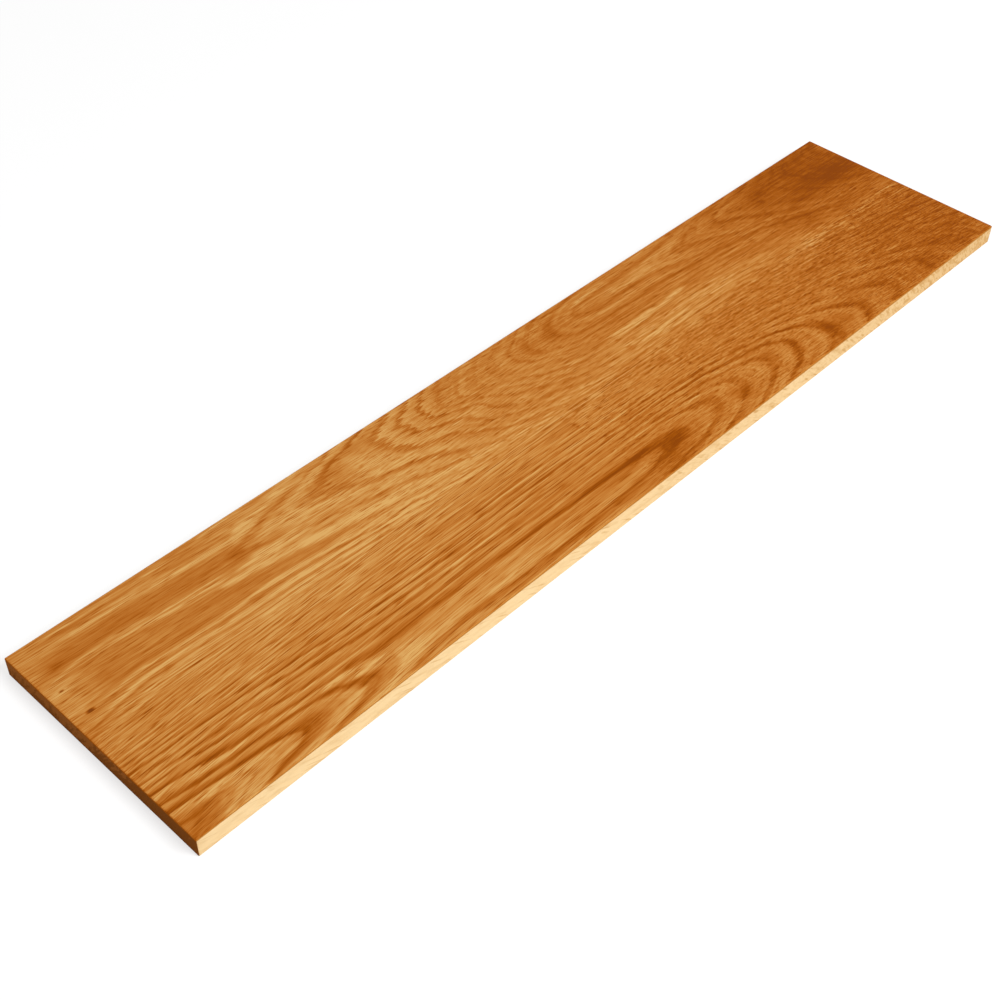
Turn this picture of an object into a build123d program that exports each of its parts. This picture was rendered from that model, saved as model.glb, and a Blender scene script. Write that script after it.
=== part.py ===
"""Oak stair riser: a flat panel of two flat-sawn staves, edge-glued and planed to one thickness.

It lies on its back with the show face up. X runs along the step, Y from the lower to the upper long edge,
Z up from the back to the show face. The origin is at the middle of the back. Sizes are in millimetres.
"""

import os

from build123d import *

INCH = 25.4

# The board as it is sold
board_length = 36 * INCH
board_width = 8 * INCH
board_thickness = 11 / 16 * INCH

# The glued joint, measured across the board from the lower long edge
near_stave_width = 105.0

# Every outer arris is rubbed down to this radius, and the glued joint stays sharp
arris_radius = 0.9

lower_edge_y = -board_width / 2
upper_edge_y = board_width / 2
joint_y = lower_edge_y + near_stave_width


def ease_arrises(stave, joint_face):
    """Rounds each edge of a sawn stave, apart from the edges of the face that is glued to its neighbour."""
    glued_edges = joint_face.edges()
    free_edges = [edge for edge in stave.edges() if not any(edge.is_same(glued) for glued in glued_edges)]
    fillet(free_edges, radius=arris_radius)


# Near stave: from the lower long edge to the joint, with its glued face towards +Y
with BuildPart() as near_stave:
    with BuildSketch(Plane.YZ.offset(-board_length / 2)) as near_section:
        with Locations((lower_edge_y, 0)):
            Rectangle(near_stave_width, board_thickness, align=(Align.MIN, Align.MIN))
    extrude(amount=board_length)
    ease_arrises(near_stave, near_stave.faces().sort_by(Axis.Y)[-1])
near_stave.part.label = "near_stave"

# Far stave: from the joint to the upper long edge, with its glued face towards -Y
with BuildPart() as far_stave:
    with BuildSketch(Plane.YZ.offset(-board_length / 2)) as far_section:
        with Locations((joint_y, 0)):
            Rectangle(upper_edge_y - joint_y, board_thickness, align=(Align.MIN, Align.MIN))
    extrude(amount=board_length)
    ease_arrises(far_stave, far_stave.faces().sort_by(Axis.Y)[0])
far_stave.part.label = "far_stave"

os.makedirs("parts", exist_ok=True)
for stave in (near_stave, far_stave):
    export_step(stave.part, f"parts/{stave.part.label}.step")
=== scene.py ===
"""Oak stair riser: two edge-glued staves with their grain, stain and sawn ends, on a pale studio floor.

X runs along the step, Y from the lower to the upper long edge, Z up from the back to the show face.
Lengths in the settings are in metres, and the grain is worked out in millimetres.
"""

import math
from types import SimpleNamespace

import bmesh
import bpy
import numpy as np
from bpy.props import FloatProperty, FloatVectorProperty, PointerProperty
from mathutils import Matrix, Vector


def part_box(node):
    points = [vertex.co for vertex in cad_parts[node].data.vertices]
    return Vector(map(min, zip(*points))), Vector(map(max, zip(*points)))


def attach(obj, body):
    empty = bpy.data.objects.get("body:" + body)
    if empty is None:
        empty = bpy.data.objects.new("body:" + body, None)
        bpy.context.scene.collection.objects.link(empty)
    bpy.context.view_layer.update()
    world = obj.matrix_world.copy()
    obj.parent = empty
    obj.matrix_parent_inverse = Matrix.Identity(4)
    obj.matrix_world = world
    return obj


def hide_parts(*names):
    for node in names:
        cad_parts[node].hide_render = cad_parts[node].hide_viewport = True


bl_info = {
    "name": "Oak stair riser",
    "version": (1, 0, 0),
    "blender": (4, 5, 0),
    "location": "View3D > Sidebar > Stair riser",
    "description": "Two edge-glued oak staves with drawn growth rings, and a pale studio",
    "category": "Add Mesh",
}

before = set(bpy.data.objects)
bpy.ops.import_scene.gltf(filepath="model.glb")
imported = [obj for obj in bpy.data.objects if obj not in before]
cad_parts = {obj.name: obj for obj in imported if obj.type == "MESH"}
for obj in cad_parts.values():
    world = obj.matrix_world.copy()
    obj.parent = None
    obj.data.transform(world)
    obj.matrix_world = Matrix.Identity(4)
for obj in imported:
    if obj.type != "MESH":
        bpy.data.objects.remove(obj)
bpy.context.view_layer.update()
NEAR_LOW, NEAR_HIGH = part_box("near_stave")
FAR_LOW, FAR_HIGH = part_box("far_stave")
MM = 1000.0

# Grain lines drawn on the show face. Each growth ring has its number, which rises away from the
# pith, and the points that its early wood starts at: (mm from the left end, mm from the far long edge).
NEAR_GRAIN = (
    (-1, ((0, 188.5), (5, 190), (7, 192), (5, 194), (0, 195.5))),
    (0, ((0, 176), (20, 177), (40, 179), (60, 180.5), (80, 181.5), (91, 184), (96, 189), (90, 194),
        (72, 197), (58, 201), (52, 204))),
    (1, ((0, 169), (26, 171), (74, 173), (107, 175), (126, 176.5), (134, 179), (142, 182.5), (151, 187),
        (150, 191), (140, 195.5), (120, 199), (104, 202))),
    (2, ((0, 158.5), (22, 159.5), (38, 163), (55, 165.3), (83, 166.3), (117, 168.3), (150, 170.7),
        (183, 174), (225, 173.5), (262, 172), (300, 172), (350, 172.5), (400, 173.5), (440, 176),
        (466, 181), (440, 188.5), (400, 190.5), (340, 194), (290, 194), (255, 191.8), (215, 193.5),
        (190, 198.5), (178, 203))),
    (3, ((0, 153), (50, 155), (87, 157.5), (107, 159.5), (120, 161), (139, 162.5), (190, 164), (235, 163.5),
        (300, 162.5), (400, 163), (480, 162), (500, 163), (520, 168), (536, 174), (528, 186), (508, 192),
        (480, 197), (440, 201))),
    (4, ((0, 147), (75, 149.7), (150, 152.7), (200, 156), (235, 157), (300, 156), (400, 155.5), (500, 157),
        (540, 160), (560, 164), (571, 174), (563, 186), (545, 196), (520, 202))),
    (5, ((0, 141.5), (35, 142.8), (74, 143.5), (100, 144.7), (150, 146.7), (200, 149.5), (235, 150.3),
        (300, 151.5), (400, 150.5), (500, 151), (540, 154), (570, 158), (598, 165), (610, 173), (603, 185),
        (588, 193), (570, 200))),
    (6, ((0, 136.5), (110, 139), (180, 142), (300, 145.5), (400, 145.5), (450, 145.5), (510, 146),
        (560, 149), (600, 155), (622, 159), (635, 164), (641, 171), (638, 181), (629, 190), (613, 198),
        (597, 203))),
    (7, ((0, 132), (120, 134.5), (200, 136), (300, 139.5), (400, 138.5), (500, 141), (560, 143), (600, 148),
        (640, 155.5), (657, 161.5), (669, 168), (676, 177), (677, 187), (672, 196), (658, 203))),
    (8, ((0, 128), (200, 131), (300, 134), (400, 133.5), (560, 137), (620, 144), (690, 162), (706, 170),
        (718, 178), (726, 186), (722, 195), (712, 203))),
    (9, ((0, 124), (200, 126), (400, 128), (560, 132), (640, 142), (700, 155), (735, 166.5), (757, 177),
        (767, 187), (763, 198))),
    (10, ((0, 120.5), (200, 122), (400, 123.5), (560, 127.5), (640, 135), (720, 148), (770, 162),
        (796, 171), (810, 178), (817, 187), (816, 196), (810, 203))),
    (11, ((0, 117), (300, 118.5), (560, 123), (660, 130), (740, 143), (800, 160), (838, 174), (856, 182),
        (864, 190), (862, 203))),
    (12, ((0, 113.5), (300, 114.5), (560, 118), (660, 124), (760, 139), (840, 157), (890, 174),
        (910, 190))),
    (14, ((0, 107), (300, 107), (560, 110), (660, 114), (760, 127), (840, 142), (914, 161))),
    (16, ((0, 100.5), (300, 100), (560, 102), (660, 105), (760, 116), (840, 128), (914, 142))),
    (18, ((660, 97), (760, 106), (840, 115), (914, 125))),
)
FAR_GRAIN = (
    (1, ((905, 10), (908, 30), (914, 44))),
    (2, ((882, 8), (888, 30), (900, 50), (914, 60))),
    (3, ((862, 8), (862, 28), (874, 48), (890, 62), (914, 72))),
    (4, ((843, 9), (832, 14), (826, 24), (836, 40), (860, 60), (885, 74), (910, 84))),
    (5, ((824, 10), (807, 14), (800, 22), (808, 38), (830, 56), (860, 72), (890, 84))),
    (6, ((757, 11), (745, 18), (750, 26), (767, 32), (790, 45), (815, 60), (840, 71), (870, 84),
        (900, 94))),
    (7, ((755, 6), (720, 9), (701, 17), (694, 24), (710, 30), (728, 37), (750, 48), (780, 56), (810, 67),
        (840, 78), (870, 88), (895, 97))),
    (8, ((690, 8), (654, 11.5), (600, 13.5), (565, 15), (550, 22), (569, 28), (611, 29), (650, 32),
        (669, 37), (700, 43), (740, 50), (775, 60), (810, 72), (840, 83), (865, 94))),
    (9, ((565, 3), (537, 9), (526, 14), (520, 24), (526, 36), (537, 41), (583, 42), (633, 43), (683, 47),
        (720, 51), (757, 59), (790, 70), (820, 82), (850, 94))),
    (10, ((514, 5), (503, 10), (493, 17), (486, 26), (495, 36), (515, 44), (545, 49), (600, 48.5),
        (650, 50.5), (700, 54), (760, 66), (800, 79), (830, 90), (850, 98))),
    (11, ((494, 5), (481, 12), (470, 22), (473, 33), (490, 43), (515, 51), (550, 54), (600, 53), (650, 56),
        (707, 61), (750, 70), (790, 83), (815, 96))),
    (12, ((474, 6), (463, 12), (453, 22), (457, 33), (468, 42), (490, 49), (525, 57), (550, 59), (600, 58),
        (650, 61), (707, 66.5), (740, 73), (780, 86), (800, 96))),
    (13, ((440, 8), (430, 17), (425, 24), (430, 34), (448, 43), (473, 56), (500, 65), (530, 67.5),
        (570, 69), (620, 67), (680, 70), (740, 80), (780, 94))),
    (14, ((420, 11), (410, 19), (406, 27), (420, 36), (444, 49), (470, 61), (490, 71), (520, 76), (570, 76),
        (620, 73), (700, 78), (760, 93))),
    (15, ((401, 9), (391, 19), (389, 28), (412, 38), (431, 49), (454, 61), (480, 72), (510, 81), (540, 84),
        (600, 81), (700, 84), (740, 94))),
    (16, ((383, 5), (375, 13), (372, 24), (380, 33), (402, 40), (416, 54), (431, 67), (451, 73), (470, 79),
        (500, 87), (540, 89), (600, 86), (700, 90))),
    (17, ((368, 4), (357, 12), (349, 20), (352, 30), (366, 39), (390, 47), (401, 61), (420, 71),
        (440, 78.5), (475, 88), (520, 94), (600, 92), (680, 95))),
    (18, ((347, 4), (332, 12), (327, 24), (333, 37), (350, 48), (374, 56), (391, 68), (410, 79), (440, 87),
        (475, 95), (500, 99))),
    (19, ((300, 8), (283, 12), (271, 20), (270, 33), (287, 44), (320, 53), (347, 60.5), (361, 72),
        (383, 81), (420, 91), (452, 99))),
    (20, ((275, 7), (243, 14), (214, 20), (190, 26), (182, 33), (193, 41), (225, 49), (263, 58), (294, 65),
        (326, 73), (356, 82), (400, 91), (430, 98))),
    (20.85, ((250, 2), (215, 13), (190, 20), (170, 23), (140, 20.5), (100, 16), (60, 14.5), (30, 12),
        (5, 5))),
    (20.85, ((0, 47), (15, 41), (30, 38), (50, 36.5), (80, 39), (105, 43), (140, 48), (180, 54), (215, 61),
        (250, 66), (290, 72), (337, 81), (391, 91), (420, 97))),
    (21, ((200, 8), (170, 16), (140, 16), (100, 12), (50, 8))),
    (21, ((0, 55), (20, 47), (50, 43), (80, 45), (100, 48), (140, 55), (180, 61), (220, 67), (250, 73),
        (290, 78), (327, 83.5), (370, 91))),
    (21.85, ((0, 75), (25, 73), (50, 70.5), (80, 72), (120, 74.5), (160, 75), (200, 78), (240, 81.5),
        (300, 85), (370, 94))),
    (22, ((0, 80), (15, 79), (30, 76.5), (50, 74.5), (80, 76), (120, 78), (160, 77.5), (200, 79.5),
        (235, 82), (263, 86), (340, 93))),
    (23, ((0, 90), (20, 87), (35, 84.5), (50, 82), (80, 82), (110, 83.5), (150, 85), (190, 86), (235, 88.5),
        (280, 91), (320, 96))),
    (24, ((0, 96), (30, 92), (60, 89.5), (100, 89.5), (150, 91), (200, 92), (250, 95), (290, 98))),
    (25, ((10, 100), (40, 96.5), (70, 94), (110, 94), (160, 95.5), (220, 98))),
)

# Where the stain took more (below zero) or less (above), as soft ovals: (mm from the left end, mm from the
# far long edge, half length, half width, amount).
STAIN_PATCHES = (
    (8, 57, 16, 14, 0.16), (231, 8, 9, 2, 0.28), (234, 33, 26, 9, 0.32), (506, 24, 6, 10, -0.1),
    (712, 33, 14, 5, -0.07), (805, 20, 14, 8, -0.14), (825, 57, 30, 5, -0.15), (805, 80, 14, 4, -0.22),
    (778, 103, 24, 6, 0.16), (678, 91, 14, 3, -0.14), (665, 60, 26, 4, -0.06), (575, 67, 34, 2.5, 0.18),
    (268, 45, 16, 6, 0.28), (276, 24, 11, 10, -0.21), (2, 24, 10, 3, -0.14), (532, 12, 14, 3, -0.14),
    (532, 36, 14, 2.5, -0.12), (568, 25, 10, 2, -0.1), (783, 35, 14, 3, -0.1), (822, 100, 12, 5, -0.12),
    (912, 67, 12, 5, -0.1), (655, 81, 24, 3, 0.08), (318, 58, 26, 5, 0.1), (480, 79, 30, 9, -0.11),
    (300, 12, 34, 6, -0.22), (347, 31, 8, 8, -0.05), (372, 25, 8, 12, -0.06), (310, 97, 190, 15, 0.12),
    (620, 84, 110, 15, 0.13), (775, 72, 70, 9, -0.07), (840, 99, 90, 6, 0.17), (390, 55, 14, 4, -0.08),
    (300, 38, 16, 10, 0.17), (325, 16, 11, 4, 0.13), (238, 41, 17, 3, 0.16), (322, 46, 16, 4, 0.14),
    (342, 65, 12, 3, 0.1), (487, 24, 8, 18, -0.13), (520, 22, 7, 14, -0.12), (543, 41, 24, 4, -0.1),
    (565, 50, 60, 9, -0.07), (535, 20, 9, 3, 0.12), (612, 24, 24, 3.5, 0.18), (465, 100, 20, 3, 0.12),
    (780, 95, 34, 7, 0.12), (740, 30, 40, 9, -0.06), (700, 56, 26, 3, -0.07), (852, 16, 66, 22, -0.22),
    (800, 42, 34, 10, -0.06), (803, 21, 6, 4.5, -0.12), (870, 45, 42, 13, -0.24), (898, 54, 26, 13, -0.16),
    (50, 160.5, 14, 3, -0.08), (58, 190, 34, 8, 0.13), (4, 192.5, 26, 7, -0.13), (455, 184.5, 16, 3, 0.14),
    (30, 181, 26, 3, 0.1), (220, 150, 280, 12, -0.03), (240, 116, 240, 12, 0.04),
    (262, 181, 46, 4.5, -0.14), (292, 73, 17, 3.5, 0.3), (190, 53, 20, 4, 0.2), (365, 48, 20, 3, 0.15),
    (208, 44, 14, 2, -0.16), (308, 45, 22, 3, 0.07), (42, 200, 22, 4.5, 0.16), (40, 183, 34, 4, 0.08),
    (24, 172, 80, 3, -0.05), (103, 186.5, 9, 8, -0.18), (168, 187.5, 13, 6, -0.18),
    (131, 185, 16, 5, -0.12), (612, 199.5, 14, 4, 0.1), (806, 194, 6, 6, -0.18), (780, 170, 45, 4, -0.08),
    (485, 110, 24, 4, 0.12), (282, 104.5, 18, 3, 0.18), (196, 187, 20, 5, 0.25), (270, 199, 85, 4, 0.1),
    (122, 181, 18, 4, -0.1), (416, 179, 44, 6, -0.16), (487, 181, 24, 13, -0.25), (470, 192, 24, 6, -0.18),
    (530, 168, 90, 34, -0.05), (571, 180, 8, 9, -0.12), (617, 172, 8, 5, -0.08), (790, 122, 40, 3, -0.08),
    (568, 184, 6, 4, -0.1), (561, 182, 6, 6, -0.24), (646, 177, 5, 9, -0.12), (685, 185, 7, 12, -0.17),
    (706, 188, 30, 12, -0.14), (585, 172, 12, 6, 0.08), (821, 190, 6, 7, -0.17), (850, 180, 10, 3.5, -0.15),
    (885, 176.5, 12, 3, -0.14), (880, 131, 60, 7, -0.1), (870, 172, 60, 34, -0.09),
)

# Drawn streaks, dark (below zero) or pale: (half width, amount, points as in the grain lines).
STAIN_STREAKS = (
    (9, -0.26, ((6, 30), (45, 26.5), (100, 30), (150, 34.5), (180, 36))),
    (3.4, -0.16, ((176, 33), (192, 27.5), (208, 22.5), (228, 17), (248, 12.5))),
    (2.8, -0.16, ((158, 41), (180, 40), (200, 39.5), (216, 41))),
    (2, 0.22, ((172, 46.5), (195, 46.5), (222, 47))), (2, 0.14, ((150, 11), (175, 12.5), (200, 13))),
    (1.6, -0.14, ((12, 6.5), (40, 8.5), (70, 9))), (3, -0.1, ((302, 68), (325, 72), (348, 76.5))),
    (2.4, 0.17, ((170, 91), (262, 93))), (2, 0.2, ((95, 129), (215, 131))),
    (2.4, 0.11, ((320, 131), (485, 131))), (1.8, 0.09, ((255, 107), (320, 107))),
    (11.5, -0.13, ((28, 60), (60, 58.5), (100, 61), (140, 63.5), (175, 67))),
    (5.5, -0.14, ((160, 67), (190, 69), (215, 72.5), (236, 74))),
    (3, -0.12, ((-15, 37), (12, 35), (28, 31))), (5, -0.12, ((-15, 95), (28, 89))),
    (3, -0.1, ((335, 42), (355, 48), (375, 54), (390, 62), (400, 70), (412, 77))),
    (2, -0.13, ((552, 25), (575, 27), (600, 29), (630, 29), (650, 32), (668, 37))),
    (2, -0.18, ((558, 15.5), (603, 13.5), (645, 12), (690, 8.5))),
    (2.4, -0.14, ((692, 18), (725, 10), (765, 4))),
    (2.2, -0.18, ((6, 77.5), (22, 73), (38, 70.5), (60, 68), (100, 70), (165, 71.5))),
    (1.3, -0.36, ((18, 148), (75, 150))), (1.3, -0.14, ((295, 157.5), (405, 156.5))),
    (2.2, -0.2, ((605, 41.5), (620, 41.5), (640, 43), (655, 45.5), (675, 47.5), (705, 49), (720, 51),
        (745, 54.5), (767, 59), (785, 64.5), (808, 71))),
    (3.4, -0.14, ((795, 68), (820, 75), (835, 79.5), (850, 83), (872, 88))),
    (1.4, -0.2, ((855, 103.5), (880, 104.5), (900, 106), (930, 108))),
    (2.2, -0.28, ((-15, 174), (25, 175.5), (50, 177.5), (75, 179.5), (96, 182))),
    (2.5, -0.16, ((98, 194), (80, 197), (56, 202))),
    (1.8, -0.21, ((-15, 167), (26, 169), (74, 171), (107, 173), (126, 174.2), (137, 176), (145, 180),
        (164, 186))),
    (2.2, -0.1, ((160, 192), (145, 196.5), (126, 199.5), (108, 203))),
    (3.2, -0.14, ((145, 167), (185, 169.5), (262, 168.5), (300, 169), (340, 170), (385, 170.5),
        (465, 170.5))),
    (2.6, -0.12, ((383, 171.5), (408, 170), (440, 171), (470, 172))),
    (2.2, -0.14, ((-15, 156.5), (30, 157.5), (55, 161.5), (90, 164.5), (130, 166), (175, 167))),
    (1.5, -0.17, ((-15, 135.5), (60, 136), (110, 136.5), (170, 136.5), (245, 137.5))),
    (1.5, -0.2, ((145, 152), (200, 155.5), (255, 156.5))), (1.6, 0.2, ((255, 152.5), (385, 153))),
    (3.4, -0.12, ((160, 168.5), (200, 170.5), (262, 169.5))), (1.2, -0.2, ((240, 114.5), (335, 113))),
    (1.8, -0.15, ((370, 166), (475, 165))), (1.6, -0.1, ((370, 136), (400, 137), (460, 140))),
    (1.4, -0.22, ((195, 122.5), (245, 123))), (3, 0.07, ((490, 141.5), (560, 142.5))),
    (3, 0.09, ((500, 157.5), (560, 161))), (2.4, 0.1, ((490, 149.5), (560, 152.5), (592, 157))),
    (2, 0.08, ((500, 130), (575, 131))), (1.6, -0.14, ((526, 39), (560, 42), (612, 42))),
    (1.6, -0.12, ((520, 4.5), (560, 3), (640, 3))), (1.8, -0.1, ((685, 5), (745, 4))),
    (2.2, 0.14, ((200, 151), (290, 152))), (2, -0.1, ((105, 38), (150, 39))),
    (2.2, -0.12, ((226, 49), (250, 53), (275, 57.5), (300, 60))), (1.2, -0.15, ((322, 157), (342, 158.5))),
    (4, -0.16, ((395, 197), (430, 197), (480, 196))),
    (1.2, -0.14, ((500, 143.5), (525, 145), (559, 147), (579, 151.5), (600, 156), (623, 159.5),
        (643, 168))),
    (1.2, -0.22, ((590, 146.5), (623, 151.5), (635, 153.5), (651, 157.5), (664, 162), (679, 170))),
    (1.2, 0.18, ((22, 4.5), (60, 5.5), (92, 6))), (1, 0.32, ((98, 6), (134, 6))),
    (1, 0.34, ((150, 3.5), (205, 2.5))), (1.1, 0.3, ((60, 11), (80, 12), (100, 13.5))),
    (2.2, 0.26, ((32, 13.5), (45, 14.5), (70, 15.5), (100, 18), (125, 19.5), (150, 21.5), (180, 22.5),
        (204, 20))),
    (1.8, 0.55, ((178, 17), (202, 15))), (1, 0.5, ((198, 13.2), (218, 12.8))),
    (1.4, 0.24, ((2, 44), (12, 41.5), (20, 39.5), (35, 37), (55, 35.5), (75, 37), (96, 40.5))),
    (1.3, 0.28, ((35, 39.5), (60, 40), (80, 42), (95, 44.5), (110, 46), (125, 46.8), (140, 48.5),
        (154, 50))),
    (0.9, 0.34, ((92, 42), (110, 42.5), (125, 43), (154, 44.5))),
    (1.6, 0.3, ((156, 49), (175, 49), (190, 50), (205, 51.5), (229, 52.5))),
    (2.4, 0.22, ((138, 53), (165, 56), (180, 58), (195, 60.5), (215, 63), (235, 65))),
    (1.1, 0.2, ((34, 76), (46, 73.2), (60, 72.8), (80, 74.5), (100, 75.5), (125, 76.5), (154, 75.5))),
    (1.6, 0.24, ((146, 74.5), (170, 74), (195, 75.5), (215, 77.5), (245, 80))),
    (1.4, 0.28, ((20, 84.5), (35, 83), (45, 81), (60, 79.7), (80, 80), (110, 81.5), (135, 83), (165, 83.5),
        (190, 84), (215, 85.5), (245, 88))),
    (1, 0.2, ((32, 91), (60, 90), (100, 90.5))), (1, 0.18, ((135, 93.5), (150, 93.5), (190, 94))),
    (4.2, 0.24, ((205, 62), (225, 64), (250, 67.5), (275, 71.5), (292, 75))),
    (2.4, 0.2, ((270, 72), (300, 77.5), (335, 82.5), (352, 84.5))),
    (1.6, 0.15, ((310, 76), (325, 78.5), (350, 83), (375, 87), (410, 92), (440, 95.5))),
    (1.3, 0.2, ((225, 79.5), (250, 81.5), (275, 82.5), (300, 84.5), (328, 88))),
    (1.3, 0.26, ((225, 86.5), (260, 89), (290, 90.5), (315, 93), (355, 98))),
    (2, 0.18, ((224, 23), (245, 18.5), (262, 14), (278, 9))),
    (2.2, 0.36, ((536, 63.5), (570, 63.5), (600, 62.5), (648, 61.8))),
    (2.2, 0.28, ((550, 12), (575, 10.5), (604, 9))),
    (2.2, 0.14, ((540, 33), (562, 35), (585, 35.5), (604, 35), (640, 36.5))),
    (1.2, 0.27, ((536, 79.5), (570, 79), (600, 77.5), (620, 76), (654, 75.5))),
    (1, 0.26, ((546, 85.5), (575, 84.5), (600, 84), (629, 83))), (0.9, 0.18, ((576, 88.5), (610, 88))),
    (0.9, 0.36, ((636, 81.5), (665, 81), (696, 81.5))), (1.2, 0.2, ((670, 90), (698, 89.5))),
    (1.2, 0.14, ((714, 83), (735, 86), (754, 88.5))), (1.6, 0.14, ((818, 71.5), (848, 79.5))),
    (1.4, 0.2, ((22, 164), (50, 167), (87, 167.7), (100, 169), (113, 171.2), (124, 172.5))),
    (2.2, 0.34, ((126, 171), (150, 172), (165, 174), (182, 177.5))),
    (2.6, 0.33, ((143, 176), (165, 179), (184, 181))),
    (3.8, 0.27, ((130, 205), (160, 201), (178, 197), (190, 193), (208, 190))),
    (2, 0.1, ((-15, 161), (22, 162.5))),
)

# The two pin knots near the left end, as ovals too, with how dark the middle is.
PIN_KNOTS = (
    (10.3, 50.5, 2.2, 1.0, 0.8),
    (14.3, 77.0, 3.6, 1.6, 0.85),
)


def linear(hex_colour):
    """The linear colour of an sRGB hex colour."""
    parts = [int(hex_colour[i : i + 2], 16) / 255 for i in (1, 3, 5)]
    return tuple(c / 12.92 if c <= 0.04045 else ((c + 0.055) / 1.055) ** 2.4 for c in parts)


def metres(name, description, default):
    """A setting that is a length."""
    return FloatProperty(name=name, description=description, default=default, unit="LENGTH", precision=5)


def degrees(name, description, default):
    """A setting that is an angle."""
    return FloatProperty(name=name, description=description, default=math.radians(default), subtype="ANGLE")


def srgb(name, description, default):
    """A setting that is a colour, from its sRGB hex value."""
    return FloatVectorProperty(name=name, description=description, default=linear(default), subtype="COLOR")


class OakStaves(bpy.types.PropertyGroup):
    """Sizes and colours of the two staves."""

    arris_radius: metres("Arris radius", "Rounding of each free edge", 0.0009)
    cell_along: metres("Cell along", "Mesh spacing along the board", 0.0032)
    cell_across: metres("Cell across", "Mesh spacing across the board", 0.00085)
    near_pith_depth: metres("Near pith depth", "Depth of the pith below the near stave's show face", 0.072)
    far_pith_depth: metres("Far pith depth", "Depth of the pith below the far stave's show face", 0.087)
    ring_width: metres("Ring width", "Growth in a year, across the log", 0.00245)
    stain_deep: srgb("Stain, deepest", "Early wood that took the most stain", "#8F4508")
    stain_dark: srgb("Stain, dark", "Stained early wood", "#A7560B")
    stain_middle: srgb("Stain, middle", "The face's usual colour", "#BE6F26")
    stain_light: srgb("Stain, light", "Stained late wood", "#CF8A40")
    stain_pale: srgb("Stain, palest", "Dense late wood that took the least stain", "#E3B067")
    arris_stain: srgb("Arris stain", "Stain that ran a little way down the sides", "#B3762F")
    bare_oak: srgb("Bare oak", "Planed oak with no finish", "#F4D4A0")
    end_grain: srgb("End grain", "Open early wood of the sawn ends", "#9A5A24")
    end_grain_dark: srgb("Dark end grain", "Where the sawn ends drank more stain", "#844A18")
    knot_core: srgb("Knot core", "Middle of a pin knot", "#6E3A18")


class RiserStage(bpy.types.PropertyGroup):
    """The camera and the lights."""

    camera_azimuth: degrees("Azimuth", "Turn of the view from the board's +Y towards +X", 47.34)
    camera_elevation: degrees("Elevation", "How far the camera looks down", 44.443)
    camera_roll: degrees("Roll", "Turn of the camera about its view", 1.461)
    camera_right: metres("Board right of centre", "How far right in view the face's middle is", 0.05904)
    camera_up: metres("Board above centre", "How far up in view the face's middle is", 0.07216)
    camera_distance: metres("Distance", "Depth of the face's middle in front of the camera", 1.22844)
    camera_lens: FloatProperty(name="Lens", description="Focal length", default=56.142, unit="CAMERA")
    key_level: FloatProperty(
        name="Key light", description="Share of a full light level on what faces the key", default=0.76
    )
    fill_level: FloatProperty(
        name="Fill light", description="Share of a full light level from all round", default=0.45
    )


def thin_plate(lines):
    """The ring number as a smooth function of place, through the drawn grain lines.

    It is the surface that a thin springy plate takes through the points: a sum over the points of
    weight * d^2 * log(d), plus a tilted plane, where d is the distance to each point. Distances along
    the board count a quarter, because grain is long and thin, and the plate gives a little at each point.
    """
    unit, give, at_once = np.array([200.0, 50.0]), 2e-3, 20000
    points = np.array([(x, row, ring) for ring, line in lines for x, row in line])
    place, ring = points[:, :2] / unit, points[:, 2]

    def bend(here):
        squared = ((here[:, None] - place[None]) ** 2).sum(-1)
        return 0.5 * squared * np.log(np.maximum(squared, 1e-12))

    tilt = np.insert(place, 0, 1, axis=1)
    system = np.block([[bend(place) + give * np.eye(len(place)), tilt], [tilt.T, np.zeros((3, 3))]])
    weights = np.linalg.solve(system, np.append(ring, np.zeros(3)))

    def at(x, row):
        here = np.column_stack([x, row]) / unit
        parts = np.array_split(here, max(1, len(here) // at_once))
        heights = [bend(few) @ weights[:-3] + np.insert(few, 0, 1, axis=1) @ weights[-3:] for few in parts]
        return np.concatenate(heights)

    return at


def stations(length, cell):
    """Places from 0 to length in even steps, with a close pair at each end that keeps the flat face flat."""
    pair = 0.0006
    steps = max(1, round((length - 2 * pair) / cell))
    return np.concatenate([[0.0], np.linspace(pair, length - pair, steps + 1), [length]])


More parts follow.
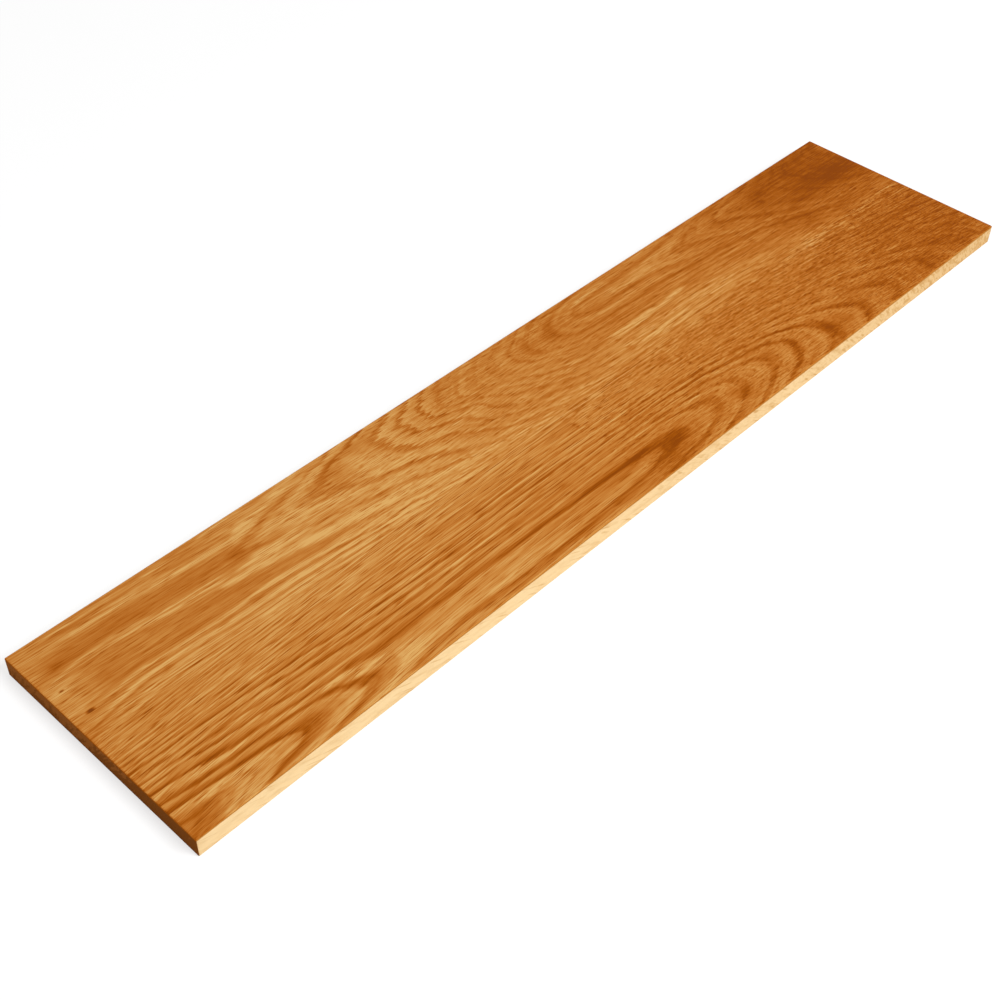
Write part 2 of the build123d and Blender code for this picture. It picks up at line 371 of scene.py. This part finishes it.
def stave_surface(low, high, joint_at_high, oak):
    """Vertices and faces of one stave: a rounded profile carried along X, with its ends eased and capped.

    The profile starts at the joint and goes over the show face, round the arris, down the outer side,
    round the lower arris, back under and up the joint face. Each profile point is start + inset * move,
    where move points inwards, and inset = r - sqrt(r^2 - (r - d)^2) at a distance d from the end, so all
    the free edges have the same rounding r. The joint face only shortens, because it is glued.
    """
    r = oak.arris_radius
    side_rows, arris_rows = 9, 7
    length, width, height = high - low
    inward = stations(width - r, oak.cell_across) + r
    up = np.linspace(0, 1, side_rows)
    turn = np.linspace(0, math.pi / 2, arris_rows)
    zero, one = np.zeros_like, np.ones_like

    # Each run: distance in from the outer side, height, and how these two change with the inset
    face = (inward[::-1], height * one(inward), zero(inward), -one(inward))
    arris = (r - r * np.sin(turn), height - r + r * np.cos(turn), np.sin(turn), -np.cos(turn))
    side = (zero(up), height - r - (height - 2 * r) * up, one(up), zero(up))
    lower = (r - r * np.cos(turn), r - r * np.sin(turn), np.cos(turn), np.sin(turn))
    back = (inward, zero(inward), zero(inward), one(inward))
    joint = (width * one(up), height * up, zero(up), 1 - 2 * up)
    runs = [np.stack(run)[:, :-1] for run in (face, arris, side, lower, back, joint)]
    u, z, du, dz = np.concatenate(runs, axis=1)

    ends = r * (1 - np.cos(turn[:-1]))
    middle = stations(length - 2 * r, oak.cell_along) + r
    x = np.concatenate([ends, middle, (length - ends)[::-1]])
    to_end = np.minimum(np.minimum(x, length - x), r)
    inset = r - np.sqrt(r * r - (r - to_end) ** 2)

    def place(x, u, z):
        y = low.y + u if joint_at_high else high.y - u
        return np.stack([low.x + x + 0 * u, y + 0 * x, low.z + z + 0 * x], axis=-1).reshape(-1, 3)

    vertices = [place(x[:, None], u + inset[:, None] * du, z + inset[:, None] * dz)]
    count = len(u)
    first = np.arange(len(x) - 1)[:, None] * count
    here, there = np.arange(count), (np.arange(count) + 1) % count
    quads = np.stack([first + here, first + there, first + count + there, first + count + here], axis=-1)
    faces = [quads.reshape(-1, 4)]

    # The caps close the ends on the same stations, inset by the whole radius
    cap_u, cap_z = np.meshgrid(inward, r + (height - 2 * r) * up, indexing="ij")
    across = len(up)
    corner = (np.arange(len(inward) - 1)[:, None] * across + np.arange(across - 1)).reshape(-1)
    cap = np.stack([corner, corner + across, corner + across + 1, corner + 1], axis=-1)
    for end, outline in ((0.0, cap[:, ::-1]), (length, cap)):
        faces.append(outline + sum(len(part) for part in vertices))
        vertices.append(place(np.full(cap_u.size, end), cap_u.reshape(-1), cap_z.reshape(-1)))
    faces = np.concatenate(faces)
    return np.concatenate(vertices), faces if joint_at_high else faces[:, ::-1]


def closed_mesh(name, vertices, faces):
    """A mesh of the faces with doubled points joined, so that the skin and its caps close."""
    mesh = bpy.data.meshes.new(name)
    mesh.from_pydata(vertices.tolist(), [], faces.tolist())
    work = bmesh.new()
    work.from_mesh(mesh)
    bmesh.ops.remove_doubles(work, verts=work.verts, dist=2e-6)
    if work.calc_volume(signed=True) < 0:
        raise RuntimeError(f"{name} is inside out")
    work.to_mesh(mesh)
    work.free()
    mesh.update()
    return mesh


def soft_patch(x, row, middle_x, middle_row, half_length, half_width, amount):
    """A smooth hill: amount * exp(-(along / half length)^2 - (across / half width)^2)."""
    return amount * np.exp(-(((x - middle_x) / half_length) ** 2) - ((row - middle_row) / half_width) ** 2)


def soft_streak(x, row, half_width, amount, points):
    """A flat-topped ridge along the points: amount * exp(-|across / half width|^3), which fades over its
    last 12 mm, or over its last third if it is short."""
    path_x, path_row = np.array(sorted(points)).T
    across = np.abs(row - np.interp(x, path_x, path_row)) / half_width
    to_end = np.minimum(x - path_x[0], path_x[-1] - x)
    fade = min(12.0, (path_x[-1] - path_x[0]) / 3)
    return amount * np.exp(-(across**3)) * np.clip(to_end / fade, 0, 1)


def curve(place, points):
    """The value at each place, on straight lines between the (place, value) points."""
    return np.interp(place, *np.array(points).T)


def write_attribute(mesh, name, *columns):
    """Stores three values a vertex as a vector, for the materials to read."""
    layer = mesh.attributes.new(name, "FLOAT_VECTOR", "POINT")
    layer.data.foreach_set("vector", np.column_stack(columns).astype(np.float32).ravel())


def grow_grain(mesh, log, ring_width):
    """Gives each vertex its place in the log, its tone and its place along the fibre.

    Below the show face the ring number falls by (R - R') / ring width, where R and R' are the distances
    to the pith from the face and from the point, sqrt(depth to the pith^2 + distance to the crown^2).

    The log's curves along the board are the usual stain, which is real stain deeper towards the right end
    with a painted broad pool of light left of the middle, the figure (how strong the rings are, which years
    gives by ring number), the feather (by how many mm vessels end early or late), along (the length of the
    fibre so far) and fine_along (how strong fine marks are). Its curves across it are fine and end_tone.
    """
    place = np.empty(len(mesh.vertices) * 3, np.float32)
    mesh.vertices.foreach_get("co", place)
    place = place.reshape(-1, 3).astype(float) * MM
    x = place[:, 0] - NEAR_LOW.x * MM
    row = FAR_HIGH.y * MM - place[:, 1]
    depth = NEAR_HIGH.z * MM - place[:, 2]
    off_crown, to_pith = row - log.crown_row, log.pith_depth - depth
    sunk = (np.hypot(log.pith_depth, off_crown) - np.hypot(to_pith, off_crown)) / ring_width
    ring_at = thin_plate(log.lines)
    ring = ring_at(x, row)

    # How many rings a mm crosses along the board and across it
    run = (ring_at(x + 1, row) - ring_at(x - 1, row)) / 2
    cross = ring_at(x, row + 0.5) - ring_at(x, row - 0.5)
    write_attribute(mesh, "ring", ring - sunk, run, cross)

    # Darker on the rounded arris at each end, over about the last millimetre
    end_arris_darkening, corner_reach = 0.18, 0.9
    # The usual stain is real stain, deeper towards the right end, with a painted broad pool of light left of
    # the middle
    usual = curve(x, log.stain)
    to_end = np.minimum(x, NEAR_HIGH.x * MM * 2 - x)
    stain = usual - end_arris_darkening * np.exp(-((to_end / corner_reach) ** 2))
    stain += sum(soft_patch(x, row, *patch) for patch in STAIN_PATCHES)
    stain += sum(soft_streak(x, row, *streak) for streak in STAIN_STREAKS)
    figure = curve(x, log.figure) * curve(ring, log.years)
    write_attribute(mesh, "tone", stain, figure, curve(x, log.feather))

    # The near stave's fibre climbs towards the far edge at one end of the board and falls at the other
    climb, turn_over = log.climb
    along = curve(x, log.along) + log.offset
    write_attribute(mesh, "fibre", along, row + climb * x - turn_over * x * x, depth)

    # Fine marks show more where a patch or a streak is paler than the wood round it
    gain, least, most = 2.2, 0.7, 1.7
    fine = curve(row, log.fine) * curve(x, log.fine_along)
    fine *= np.clip(1 + gain * (stain - usual), least, most)
    ray = np.arctan2(off_crown, to_pith) * log.pith_depth
    write_attribute(mesh, "log", ray, curve(row, log.end_tone), fine)
    write_attribute(mesh, "face", x, row, 0 * x)


def add(tree, kind, inputs=(), **values):
    """Adds a node, sets its properties, and sets or links its inputs, given in order or by name or number.
    A node given as an input stands for its first output."""
    node = tree.nodes.new("ShaderNode" + kind)
    for name, value in values.items():
        setattr(node, name, value)
    for socket, source in inputs.items() if isinstance(inputs, dict) else enumerate(inputs):
        if isinstance(source, bpy.types.Node):
            source = source.outputs[0]
        if isinstance(source, bpy.types.NodeSocket):
            tree.links.new(source, node.inputs[socket])
        else:
            node.inputs[socket].default_value = source
    return node


def set_ramp(node, *stops):
    """Puts (position, colour or grey) stops on a colour ramp."""
    ramp = node.color_ramp
    while len(ramp.elements) < len(stops):
        ramp.elements.new(0.5)
    for element, (position, colour) in zip(ramp.elements, stops):
        element.position = position
        element.color = (*colour, 1) if hasattr(colour, "__len__") else (colour, colour, colour, 1)
    return node


def read(tree, name):
    """An attribute of the mesh, whole and split into its three numbers."""
    vector = add(tree, "Attribute", attribute_name=name).outputs["Vector"]
    return vector, *add(tree, "SeparateXYZ", (vector,)).outputs


def noise(tree, place, length, width, detail, low=0, high=1, least=0, most=1, roughness=0.5):
    """Smooth noise in grains of a length and width in mm, whose low to high becomes least to most. The place
    is a vector, or two numbers."""
    if isinstance(place, tuple):
        place = add(tree, "CombineXYZ", place)
    place = add(tree, "Mapping", {"Vector": place, "Scale": (1 / length, 1 / width, 1 / width)})
    grains = add(tree, "TexNoise", {"Vector": place, "Scale": 1, "Detail": detail, "Roughness": roughness})
    return add(tree, "MapRange", (grains, low, high, least, most))


def add_up(tree, total, *parts):
    """The total after each part times its amount is added to it."""
    for part, amount in parts:
        total = add(tree, "Math", (part, amount, total), operation="MULTIPLY_ADD")
    return total


def ring_profile(tree, year, *stops):
    """How much early wood shows through the year, by (fraction of the ring number, amount) stops."""
    season = add(tree, "Math", (year,), operation="FRACT")
    return set_ramp(add(tree, "ValToRGB", (season,)), *stops)


def new_material(name, roughness, specular):
    """The node tree and shader of a new material. What is even is a plain number on the shader itself."""
    material = bpy.data.materials.new(name)
    material.use_nodes = True
    tree = material.node_tree
    shader = tree.nodes["Principled BSDF"]
    shader.inputs["Roughness"].default_value = roughness
    shader.inputs["Specular IOR Level"].default_value = specular
    shader.inputs["IOR"].default_value = 1.5
    return tree, shader


def set_surface(tree, shader, colour, over, share, pores, strength, deep):
    """Gives the shader a colour, with a share of another one over it, and pores as deep as given in m."""
    mixed = add(tree, "Mix", {0: share, 6: colour, 7: (*over, 1)}, data_type="RGBA").outputs[2]
    bump = add(tree, "Bump", {"Height": pores, "Strength": strength, "Distance": deep}, invert=True)
    tree.links.new(mixed, shader.inputs["Base Color"])
    tree.links.new(bump.outputs[0], shader.inputs["Normal"])


def stained_show_face(oak):
    """Flat-sawn red oak, planed, stained golden and lacquered satin: dark porous early wood in each ring
    that starts sharply and fades, pale late wood, fine pores along the board, and a low even sheen."""
    tree, shader = new_material("stained_lacquered_red_oak", roughness=0.42, specular=0.012)
    fibre, along, _, _ = read(tree, "fibre")
    _, year, run, cross = read(tree, "ring")
    _, stain, figure, feather = read(tree, "tone")
    fine = read(tree, "log")[3]

    # Vessels end a few mm early or late, which makes the tips of the arches ragged along the board, more
    # so where the rings are wide, and the rings themselves waver a little across it
    for length, width, detail, steepness, reach in (
        (9, 1.1, 1, run, 2.5), (45, 2.4, 2, run, feather), (38, 2, 1, cross, 0.75), (90, 9, 2, cross, 0.9)
    ):
        shift = noise(tree, fibre, length, width, detail, 0.25, 0.75, -1, 1)
        shift = add(tree, "Math", (shift, reach), operation="MULTIPLY")
        year = add(tree, "Math", (shift, steepness, year), operation="MULTIPLY_ADD")

    # From dark early wood to pale late wood, counted from a level between them. Each year has its own
    # strength, which changes about every 80 mm along the board
    early = ring_profile(
        tree, year, (0, 0.45), (0.04, 0.95), (0.12, 1), (0.23, 0.85), (0.34, 0.5), (0.46, 0.3), (0.62, 0.2),
        (0.8, 0.08), (0.92, 0.05), (1, 0.45),
    )
    early = add(tree, "Math", (early, 0.42), operation="SUBTRACT")
    number = add(tree, "Math", (year,), operation="FLOOR")
    own = add(tree, "TexWhiteNoise", {"W": number}, noise_dimensions="1D")
    patchy = noise(tree, (along, number), 250 / 3, 1 / 3.18, 1, 0.3, 0.7, 0.45, 1.05)
    for strength in (add_up(tree, patchy, (own, 0.35)), figure):
        early = add(tree, "Math", (early, strength), operation="MULTIPLY")

    # Finer lines that follow the rings, four to a year, and marks along the fibre: groups of pores as
    # short dark dashes, longer threads, broad streaks, single pores and soft clouds. Real pores are about
    # 0.3 mm wide, which is under a pixel, so they are drawn coarser
    lines = noise(tree, (along, year), 50, 1 / 4, 2, least=-0.5, most=0.5, roughness=0.8)
    dashes = noise(tree, fibre, 9, 0.7, 1, 0.53, 0.7)
    threads = noise(tree, fibre, 30, 1.15, 1, 0.36, 0.64, -0.5, 0.5)
    streaks = noise(tree, fibre, 90, 4, 2)
    pores = noise(tree, fibre, 6, 0.45, 1, 0.56, 0.74)
    clouds = noise(tree, fibre, 170, 16, 2)
    lines, dashes, threads = (
        add(tree, "Math", (marks, fine), operation="MULTIPLY") for marks in (lines, dashes, threads)
    )

    # Pin knots: dark ovals with a soft edge, round which the stain is deepest
    face = read(tree, "face")[0]
    knots = 0.0
    for middle_x, middle_row, half_length, half_width, darkness in PIN_KNOTS:
        off = add(tree, "VectorMath", (face, (middle_x, middle_row, 0)), operation="SUBTRACT")
        off = add(tree, "VectorMath", (off, (half_length, half_width, 1)), operation="DIVIDE")
        off = add(tree, "VectorMath", (off,), operation="LENGTH").outputs["Value"]
        knot = add(tree, "MapRange", (off, 0.35, 1.3, darkness, 0))
        knots = add(tree, "Math", (knot, knots), operation="ADD")

    # Depth of colour: all of these added up, from 0 for the deepest stain to 1 for the palest
    value = add_up(
        tree, stain, (early, -0.42), (lines, 0.52), (dashes, -0.3), (threads, 0.22), (streaks, 0.28),
        (pores, -0.12), (clouds, 0.25), (1, -0.168), (knots, -0.7),
    )
    colour = set_ramp(
        add(tree, "ValToRGB", (value,)), (0, oak.stain_deep), (0.18, oak.stain_dark),
        (0.41, oak.stain_middle), (0.65, oak.stain_light), (1, oak.stain_pale),
    )
    core = add(tree, "MapRange", (knots, 0.3, 1, 0, 0.6))
    set_surface(tree, shader, colour, oak.knot_core, core, pores, 0.6, 0.00003)

    # The lacquer sinks a little into the pores
    rough = add(tree, "MapRange", (pores, 0, 1, 0.4, 0.52))
    tree.links.new(rough.outputs[0], shader.inputs["Roughness"])


def bare_planed_oak(name, oak, figure, slant):
    """Red oak straight from the planer, with no finish: pale and dull, its rings faint by the given
    figure, short pores, and thin darker lines by the given slant where rings cross the side. It is darker
    where the stain is deeper, and stain that ran over the arris covers the first millimetre."""
    tree, shader = new_material(name, roughness=0.62, specular=0.03)
    fibre, _, _, depth = read(tree, "fibre")
    along, ring, stain = (read(tree, attribute)[1] for attribute in ("face", "ring", "tone"))
    year = add_up(tree, ring, (noise(tree, fibre, 70, 5, 2), 0.6))
    early = ring_profile(tree, year, (0, 0.3), (0.06, 1), (0.3, 0.4), (0.55, 0.05), (0.95, 0), (1, 0.3))
    pores = noise(tree, fibre, 7, 0.4, 1, 0.56, 0.72)
    mottle = noise(tree, fibre, 9, 3, 2, 0.48, 0.6)

    # Lines that lean along the board as they go down, steeper towards its right end, and tufts beside them
    # where the stain is deeper
    lean = add(tree, "MapRange", (along, 0, 914, -2.7, -0.5))
    leaning = add(tree, "Math", (depth, lean, along), operation="MULTIPLY_ADD")
    deeper = add(tree, "MapRange", (stain, 0.5, 0.15, 0, 0.46))
    often = add(tree, "MapRange", (along, 150, 600, 0.8, 1))
    dark = add_up(tree, deeper, (mottle, 0.1 * slant), (early, figure), (pores, 0.09))
    for length, height, low, share, amount in (
        (6, 10, 0.61, often, 0.42), (14, 9, 0.54, often, 0.18), (3, 7, 0.52, deeper, 1.1)
    ):
        slanted = noise(tree, (leaning, depth), length, height, 1, low, low + 0.12)
        slanted = add(tree, "Math", (slanted, share), operation="MULTIPLY")
        dark = add_up(tree, dark, (slanted, amount * slant))
    base = oak.bare_oak
    darkest = (base[0] * 0.7, base[1] * 0.56, base[2] * 0.38)
    colour = set_ramp(add(tree, "ValToRGB", (dark,)), (0, base), (0.7, darkest))

    # Stain over the arris: full at the show face, gone about a millimetre down, with an uneven edge
    reach = add_up(tree, depth, (noise(tree, fibre, 4, 1, 2), -0.7), (along, -0.0007))
    soaked = add(tree, "MapRange", (reach, 0.5, 1.1, 1, 0))
    set_surface(tree, shader, colour, oak.arris_stain, soaked, pores, 0.6, 0.00004)


def sawn_end_grain(oak):
    """Red oak cut square across with a fine saw, dark because end grain drinks stain: growth rings as
    slanted bands of open pores, rays as thin paler lines across them, and blotches where it drank more."""
    tree, shader = new_material("sawn_oak_end_grain", roughness=0.8, specular=0.01)
    fibre, _, row, depth = read(tree, "fibre")
    ring = read(tree, "ring")[1]
    _, ray, own, _ = read(tree, "log")
    early = ring_profile(tree, ring, (0, 0.3), (0.1, 1), (0.45, 1), (0.6, 0.1), (0.95, 0), (1, 0.3))
    rays = noise(tree, (ring, ray), 4, 0.5, 2, 0.55, 0.7)
    pores = noise(tree, fibre, 1 / 2.6, 1 / 2.6, 2)
    leaning = add_up(tree, row, (depth, 0.6))
    blotches = noise(tree, (leaning, depth), 4.5, 9, 2)
    dark = add_up(
        tree, own, (early, -0.15), (rays, -0.15), (pores, 0.1), (blotches, 2), (depth, 0.03), (1, -1.17)
    )
    colour = set_ramp(add(tree, "ValToRGB", (dark,)), (0.4, oak.end_grain), (0.45, oak.end_grain_dark))

    # Stain and lacquer that ran over the arris, drawn as the stain's colour alone
    soaked = add(tree, "MapRange", (depth, 0.9, 1.3, 1, 0))
    set_surface(tree, shader, colour, oak.stain_dark, soaked, pores, 0.5, 0.00006)


def oak_finishes(oak):
    """The four finishes of a stave, made once and shared: show face, long side, back and ends."""
    names = (
        "stained_lacquered_red_oak", "bare_planed_oak_side", "bare_planed_oak_back", "sawn_oak_end_grain"
    )
    if names[0] not in bpy.data.materials:
        stained_show_face(oak)
        bare_planed_oak(names[1], oak, figure=0, slant=1)
        bare_planed_oak(names[2], oak, figure=0.45, slant=0)
        sawn_end_grain(oak)
    return [bpy.data.materials[name] for name in names]


def place_object(name, data):
    """A new object of the data, in the scene."""
    placed = bpy.data.objects.new(name, data)
    bpy.context.scene.collection.objects.link(placed)
    return placed


def make_stave(name, low, high, joint_at_high, log):
    """Makes one stave with its grain, and gives each face its finish by the way it points."""
    oak = bpy.context.scene.oak_staves
    vertices, faces = stave_surface(low, high, joint_at_high, oak)
    mesh = closed_mesh(name, vertices, faces)
    grow_grain(mesh, log, oak.ring_width * MM)
    for material in oak_finishes(oak):
        mesh.materials.append(material)
    normal = np.empty(len(mesh.polygons) * 3, np.float32)
    mesh.polygons.foreach_get("normal", normal)
    along, _, upward = normal.reshape(-1, 3).T
    show_face, side, back, end = range(4)
    finish = np.full(len(upward), side, np.int32)
    finish[upward < -0.5] = back
    finish[np.abs(along) > 0.6] = end
    finish[upward > 0.75] = show_face
    mesh.polygons.foreach_set("material_index", finish)
    mesh.shade_smooth()
    mesh.set_sharp_from_angle(angle=math.radians(30))
    return place_object(name, mesh)


class RISER_OT_near_stave(bpy.types.Operator):
    """Makes the near stave, which runs from the lower long edge to the glued joint"""

    bl_idname = "riser.near_stave"
    bl_label = "Near stave"

    def execute(self, context):
        oak = context.scene.oak_staves
        log = SimpleNamespace(
            lines=NEAR_GRAIN, pith_depth=oak.near_pith_depth * MM, crown_row=184, offset=0,
            figure=((0, 1), (235, 1.05), (460, 0.8), (700, 0.8), (914, 0.7)),
            years=((7, 1), (9, 0.85), (12, 0.5)), feather=((0, 2), (914, 1)), climb=(0.1, 0.00012),
            along=((0, 0), (60, 35), (200, 95), (440, 200), (560, 345), (914, 995)),
            fine=((98, 1.4), (150, 1.35), (172, 1.3), (203, 1.3)),
            fine_along=((60, 0.9), (250, 1), (700, 1), (800, 1.25)),
            end_tone=((98, 0.45), (136, 0.55), (144, 0.95)),
            # stain: real stain, deeper towards the right end, with a painted broad pool of light left of the
            # middle
            stain=((0, 0.49), (76, 0.51), (228, 0.53), (380, 0.47), (533, 0.43), (686, 0.37), (838, 0.27),
                   (914, 0.24)),
        )
        stave = make_stave("oak_stave_near", NEAR_LOW, NEAR_HIGH, True, log)
        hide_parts("near_stave")
        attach(stave, "root")
        return {"FINISHED"}


class RISER_OT_far_stave(bpy.types.Operator):
    """Makes the far stave, which runs from the glued joint to the upper long edge"""

    bl_idname = "riser.far_stave"
    bl_label = "Far stave"

    def execute(self, context):
        oak = context.scene.oak_staves
        log = SimpleNamespace(
            lines=FAR_GRAIN, pith_depth=oak.far_pith_depth * MM, crown_row=26, offset=3000,
            figure=((0, 0.8), (300, 0.9), (420, 0.6), (650, 0.6), (800, 0.35), (914, 0.25)),
            years=((8, 0.8), (10, 0.6), (13, 0.6), (15, 1), (20, 1), (20.6, 0.35), (21.6, 0.35), (22, 1)),
            feather=((0, 10), (280, 9), (420, 3.5), (914, 2)), climb=(-0.03, 0),
            along=((0, 0), (250, 135), (400, 260), (560, 400), (914, 680)),
            fine=((0, 1.1),), fine_along=((0, 1),), end_tone=((0, 0.3),),
            # stain: real stain, deeper towards the right end, with a painted broad pool of light left of the
            # middle
            stain=((0, 0.52), (76, 0.56), (228, 0.61), (380, 0.54), (533, 0.46), (686, 0.42), (838, 0.27),
                   (914, 0.22)),
        )
        stave = make_stave("oak_stave_far", FAR_LOW, FAR_HIGH, False, log)
        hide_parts("far_stave")
        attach(stave, "root")
        return {"FINISHED"}


class RISER_OT_stage(bpy.types.Operator):
    """Makes the floor, the camera and the soft studio light"""

    bl_idname = "riser.stage"
    bl_label = "Studio"

    def execute(self, context):
        stage = context.scene.riser_stage
        middle = Vector((0, 0, NEAR_HIGH.z))
        set_camera(stage, middle)
        set_key_light(stage, middle)
        set_surroundings(stage)
        lay_floor()
        context.scene.view_settings.view_transform = "Standard"
        return {"FINISHED"}


def set_camera(stage, middle):
    """A camera that looks down on the board from its lower left, set by where it sees the face's middle."""
    turn, tip, roll = stage.camera_azimuth, stage.camera_elevation, stage.camera_roll
    ahead = Vector((math.sin(turn) * math.cos(tip), math.cos(turn) * math.cos(tip), -math.sin(tip)))
    level = Vector((math.cos(turn), -math.sin(turn), 0))
    upright = level.cross(ahead)
    right = level * math.cos(roll) + upright * math.sin(roll)
    up = upright * math.cos(roll) - level * math.sin(roll)
    data = bpy.data.cameras.new("riser_camera")
    data.lens = stage.camera_lens
    data.sensor_width = 36
    data.clip_start = 0.05
    camera = place_object("riser_camera", data)
    turned = Matrix((right, up, -ahead)).transposed().to_4x4()
    spot = middle - right * stage.camera_right - up * stage.camera_up - ahead * stage.camera_distance
    camera.matrix_world = Matrix.Translation(spot) @ turned
    bpy.context.scene.camera = camera


def set_key_light(stage, middle):
    """A large soft light above the lower long edge. Its power is level * pi^2 * distance^2, for which a
    white surface that faces it shows the level."""
    offset = Vector((0.35, -2.1, 2.35))
    data = bpy.data.lights.new("key_softbox", "AREA")
    data.shape = "SQUARE"
    data.size = 1.4
    data.energy = stage.key_level * math.pi**2 * offset.length_squared
    towards = offset.to_track_quat("Z", "Y").to_matrix().to_4x4()
    place_object("key_softbox", data).matrix_world = Matrix.Translation(middle + offset) @ towards


def seen_directly(tree):
    """1 for rays that show the background itself: from the camera, from gloss, or through glass."""
    ray = add(tree, "LightPath").outputs
    seen = ray["Is Camera Ray"]
    for other in ("Is Glossy Ray", "Is Transmission Ray"):
        seen = add(tree, "Math", (seen, ray[other]), operation="MAXIMUM")
    return seen


def set_surroundings(stage):
    """An even fill from all round, which looks white where it is seen."""
    world = bpy.data.worlds.new("white_studio")
    world.use_nodes = True
    tree = world.node_tree
    level = add(tree, "MapRange", (seen_directly(tree), 0, 1, stage.fill_level, 1))
    tree.links.new(level.outputs[0], tree.nodes["Background"].inputs["Strength"])
    tree.nodes["Background"].inputs["Color"].default_value = (1, 1, 1, 1)
    bpy.context.scene.world = world


def lay_floor():
    """A wide flat floor just under the board: matt white paper, lifted to white where the camera sees it
    lit, so that only the board's soft shadow shows. It is lifted more further out, where the key fades."""
    half, drop = 12.0, -0.0001
    mesh = bpy.data.meshes.new("studio_floor")
    corners = [(-half, -half, drop), (half, -half, drop), (half, half, drop), (-half, half, drop)]
    mesh.from_pydata(corners, [], [(0, 1, 2, 3)])
    material = bpy.data.materials.new("white_backdrop_paper")
    material.use_nodes = True
    tree = material.node_tree
    tree.nodes.clear()
    paper = add(tree, "BsdfDiffuse", {"Color": (0.8, 0.8, 0.8, 1)})
    thin = add(tree, "BsdfDiffuse", {"Color": (0.42, 0.42, 0.42, 1)})
    spot = add(tree, "TexCoord").outputs["Object"]
    away = add(tree, "VectorMath", (spot,), operation="LENGTH").outputs["Value"]
    lift = add(tree, "MapRange", (away, 1, 3.5, 0.66, 0.86))
    glow = add(tree, "Emission", {"Color": (1, 1, 1, 1), "Strength": lift})
    lifted = add(tree, "AddShader", (thin, glow))
    mixed = add(tree, "MixShader", (seen_directly(tree), paper, lifted))
    add(tree, "OutputMaterial", {"Surface": mixed})
    mesh.materials.append(material)
    floor = place_object("studio_floor", mesh)


class RISER_PT_panel(bpy.types.Panel):
    """Lists the riser's pieces and settings"""

    bl_label = "Stair riser"
    bl_idname = "RISER_PT_panel"
    bl_space_type = "VIEW_3D"
    bl_region_type = "UI"
    bl_category = "Stair riser"

    def draw(self, context):
        for group, operators in (
            (context.scene.oak_staves, (RISER_OT_near_stave, RISER_OT_far_stave)),
            (context.scene.riser_stage, (RISER_OT_stage,)),
        ):
            box = self.layout.box()
            for name in group.__annotations__:
                box.prop(group, name)
            for operator in operators:
                box.operator(operator.bl_idname)


CLASSES = (OakStaves, RiserStage, RISER_OT_near_stave, RISER_OT_far_stave, RISER_OT_stage, RISER_PT_panel)


def register():
    for each in CLASSES:
        bpy.utils.register_class(each)
    bpy.types.Scene.oak_staves = PointerProperty(type=OakStaves)
    bpy.types.Scene.riser_stage = PointerProperty(type=RiserStage)


def unregister():
    del bpy.types.Scene.riser_stage
    del bpy.types.Scene.oak_staves
    for each in reversed(CLASSES):
        bpy.utils.unregister_class(each)


def main():
    """Makes the whole scene."""
    register()
    bpy.ops.riser.near_stave()
    bpy.ops.riser.far_stave()
    bpy.ops.riser.stage()


if __name__ == "__main__":
    main()
